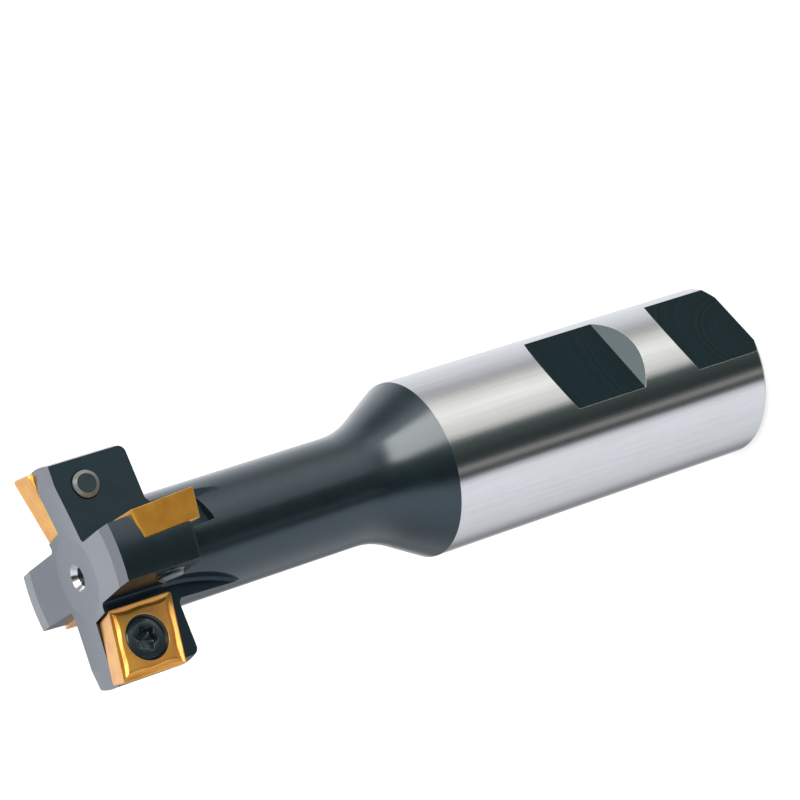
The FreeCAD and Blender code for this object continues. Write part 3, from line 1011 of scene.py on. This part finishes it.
# %% Sizes of the screw
SCREW_RADIUS = 2.0
SCREW_HEAD_RADIUS = 2.8
SCREW_LENGTH = 9.3
SCREW_CHAMFER = 0.65
SCREW_STEPS = 96
TIP_RADIUS = 0.02
THREAD_PITCH = 0.7
THREAD_DEPTH = 0.42
THREAD_FLAT = 0.075
SOCKET_MEAN = 1.425
SOCKET_WAVE = 0.225
SOCKET_DEPTH = 1.3
RIM_FOOT = SINK_FOOT + (SCREW_HEAD_RADIUS - HOLE_RADIUS) / SINK_SLOPE
SHAFT_TOP = SINK_FOOT - (HOLE_RADIUS - SCREW_RADIUS) / SINK_SLOPE
HEAD_TOP = RIM_FOOT + 0.25
SCREW_END = HEAD_TOP - SCREW_LENGTH
CHAMFER_TOP = SCREW_END + SCREW_CHAMFER


# %% Rings of the screw, each a radius all the way round and a height
def thread_radius(height, angles, share):
    """Radius of the thread at a height, with a share of its full depth. Its crest and its root
    are cut off flat."""
    phase = (height / THREAD_PITCH + angles / (2 * math.pi)) % 1.0
    tooth = abs(phase - 0.5) * 2 * (1 + 2 * THREAD_FLAT) - THREAD_FLAT
    return SCREW_RADIUS - THREAD_DEPTH * np.clip(tooth, 0, 1) * share


def screw_rings():
    angles = np.linspace(0, 2 * math.pi, SCREW_STEPS, endpoint=False)
    wave = SOCKET_MEAN + SOCKET_WAVE * np.cos(6 * angles)
    socket_foot = HEAD_TOP - SOCKET_DEPTH
    rows = [
        (TIP_RADIUS, socket_foot - 0.25), (wave * 0.55, socket_foot - 0.08),
        (wave * 0.94, socket_foot), (wave * 0.99, socket_foot + 0.06), (wave, HEAD_TOP - 0.6),
        (wave, HEAD_TOP - 0.10), (wave + 0.03, HEAD_TOP - 0.03), (wave + 0.09, HEAD_TOP),
        (wave * 0.5 + 1.0, HEAD_TOP),
    ]
    for inwards, drop in ((0.80, 0.0), (0.70, 0.012), (0.30, 0.10), (0.06, 0.17), (0.01, 0.21)):
        rows.append((SCREW_HEAD_RADIUS - inwards, HEAD_TOP - drop))
    rows += [
        (SCREW_HEAD_RADIUS - 0.03, RIM_FOOT - 0.03),
        (HOLE_RADIUS + 0.2, SINK_FOOT + 0.21 / SINK_SLOPE),
        (HOLE_RADIUS - 0.01, SINK_FOOT),
        (SCREW_RADIUS, SHAFT_TOP),
    ]
    # The thread fades in under the head and is cut off by the chamfer at the end.
    for height in np.arange(SHAFT_TOP - 0.05, CHAMFER_TOP, -THREAD_PITCH / 8):
        fade = min(1.0, (SHAFT_TOP - height) / 0.6)
        rows.append((thread_radius(height, angles, fade), height))
    for share in np.linspace(0, 1, 6):
        height = CHAMFER_TOP - share * SCREW_CHAMFER
        chamfer = SCREW_RADIUS - share * SCREW_CHAMFER
        rows.append((np.minimum(thread_radius(height, angles, 1.0), chamfer), height))
    rows += [(SCREW_RADIUS - 0.70, SCREW_END), (TIP_RADIUS, SCREW_END)]
    unit = np.stack([np.cos(angles), np.sin(angles)])
    # From the end up, so that the faces point out of the metal.
    return [level((unit * radius).T, height) for radius, height in reversed(rows)]


# The chamfer at the end is painted pale out from this radius: a painted sheen.
PAINTED_SHEEN_FROM = 1.32
screw_pattern = ring_mesh("screw_pattern", screw_rings(), closed=False, sharp_angle=35)
radii, heights = radii_and_heights(screw_pattern)
mark(screw_pattern, "wear_and_painted_sheen", (radii > PAINTED_SHEEN_FROM) & (heights < CHAMFER_TOP + NEAR))
print("screw", len(screw_pattern.data.polygons), "faces")

# %% [markdown]
# Pieces on their seats
#
# The same insert and the same screw sit on all four seats, so Geometry Nodes place them. Each
# seat is a point that carries the turn of its frame. The tree puts the piece on the points from
# a first seat to a last one, at a size of 1, and gives it its finish. The copies are then made
# real, because the model is handed on as plain meshes.

# %% Node tree that puts a piece on its seats
seats_tree = bpy.data.node_groups.new("pieces_on_seats", "GeometryNodeTree")
sockets = {}
for label, kind in (("Seats", "NodeSocketGeometry"), ("Piece", "NodeSocketObject"),
                    ("First seat", "NodeSocketInt"), ("Last seat", "NodeSocketInt"),
                    ("Piece size", "NodeSocketFloat"), ("Finish", "NodeSocketMaterial")):
    sockets[label] = seats_tree.interface.new_socket(
        name=label, in_out="INPUT", socket_type=kind).identifier
seats_tree.interface.new_socket(name="Pieces", in_out="OUTPUT", socket_type="NodeSocketGeometry")
given = add(seats_tree, "NodeGroupInput")
number = add(seats_tree, "GeometryNodeInputIndex")
from_first = add(seats_tree, "FunctionNodeCompare", {
    "data_type": "INT", "operation": "GREATER_EQUAL"}, {
    2: number, 3: given.outputs["First seat"]})
to_last = add(seats_tree, "FunctionNodeCompare", {
    "data_type": "INT", "operation": "LESS_EQUAL"}, {
    2: number, 3: given.outputs["Last seat"]})
chosen = add(seats_tree, "FunctionNodeBooleanMath", {"operation": "AND"}, {
    0: from_first, 1: to_last})
seat_turn = add(seats_tree, "GeometryNodeInputNamedAttribute", {
    "data_type": "FLOAT_VECTOR"}, {"Name": "seat_turn"})
as_turn = add(seats_tree, "FunctionNodeEulerToRotation", inputs={0: seat_turn})
pattern = add(seats_tree, "GeometryNodeObjectInfo", inputs={"Object": given.outputs["Piece"]})
placed = add(seats_tree, "GeometryNodeInstanceOnPoints", inputs={
    "Points": given.outputs["Seats"], "Selection": chosen,
    "Instance": pattern.outputs["Geometry"], "Rotation": as_turn,
    "Scale": given.outputs["Piece size"]})
real = add(seats_tree, "GeometryNodeRealizeInstances", inputs={0: placed})
finished = add(seats_tree, "GeometryNodeSetMaterial", inputs={
    "Geometry": real, "Material": given.outputs["Finish"]})
add(seats_tree, "NodeGroupOutput", inputs={0: finished})
print("seat tree", len(seats_tree.nodes), "nodes")

# %% Pieces made from the tree
def on_seats(name, piece, first, last, finish):
    """Run the tree on the four seats and keep the result as a plain mesh."""
    points = bpy.data.meshes.new(name)
    points.from_pydata([seat.translation[:] for seat in seat_frames.values()], [], [])
    turns = points.attributes.new("seat_turn", "FLOAT_VECTOR", "POINT")
    for item, seat in zip(turns.data, seat_frames.values()):
        item.vector = seat.to_euler()[:]
    obj = new_object(name, points)
    modifier = obj.modifiers.new("pieces on seats", "NODES")
    modifier.node_group = seats_tree
    for label, value in (("Piece", piece), ("First seat", first), ("Last seat", last),
                         ("Piece size", 1.0), ("Finish", finish)):
        modifier[sockets[label]] = value
    evaluated = obj.evaluated_get(bpy.context.evaluated_depsgraph_get())
    made = bpy.data.meshes.new_from_object(evaluated)
    obj.modifiers.remove(modifier)
    obj.data = made
    made.name = name
    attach(obj, "root")
    print(name, len(made.polygons), "faces")
    return obj


for index, node in enumerate(SEATS):
    insert = on_seats("coated_" + node, insert_pattern, index, index, nitride)
    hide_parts(node)
screws = on_seats("countersunk_screws", screw_pattern, 0, len(SEATS) - 1, black_screw)
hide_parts("insert_screws")
for pattern_object in (insert_pattern, screw_pattern):
    bpy.data.objects.remove(pattern_object)
